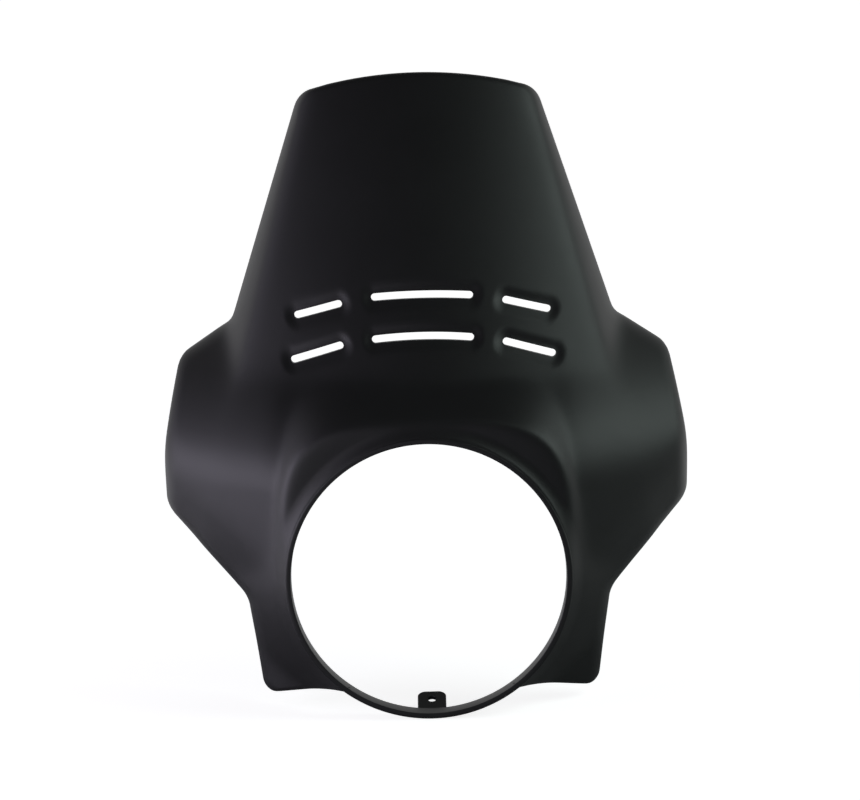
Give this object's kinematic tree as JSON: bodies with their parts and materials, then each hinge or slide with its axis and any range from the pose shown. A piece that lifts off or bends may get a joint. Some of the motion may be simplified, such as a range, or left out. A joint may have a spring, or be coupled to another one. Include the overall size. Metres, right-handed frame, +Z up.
{
  "type": "motorcycle headlight cowl",
  "caption": "Moulded front cowl that frames a round motorcycle headlight, with side wings, short skirts, a raked slotted screen and a screw tab under the lamp collar.",
  "frame": {"origin": "centre of the lamp opening, on the plane of the collar's front lip", "axes": "-Y out of the front of the lamp opening, +X to the right seen from the front, +Z up"},
  "size_m": [0.344, 0.1755, 0.4008],
  "materials": {
    "shell": "satin black moulded ABS"
  },
  "bodies": {
    "root": {"headlight_cowl": "shell"}
  },
  "joints": []
}
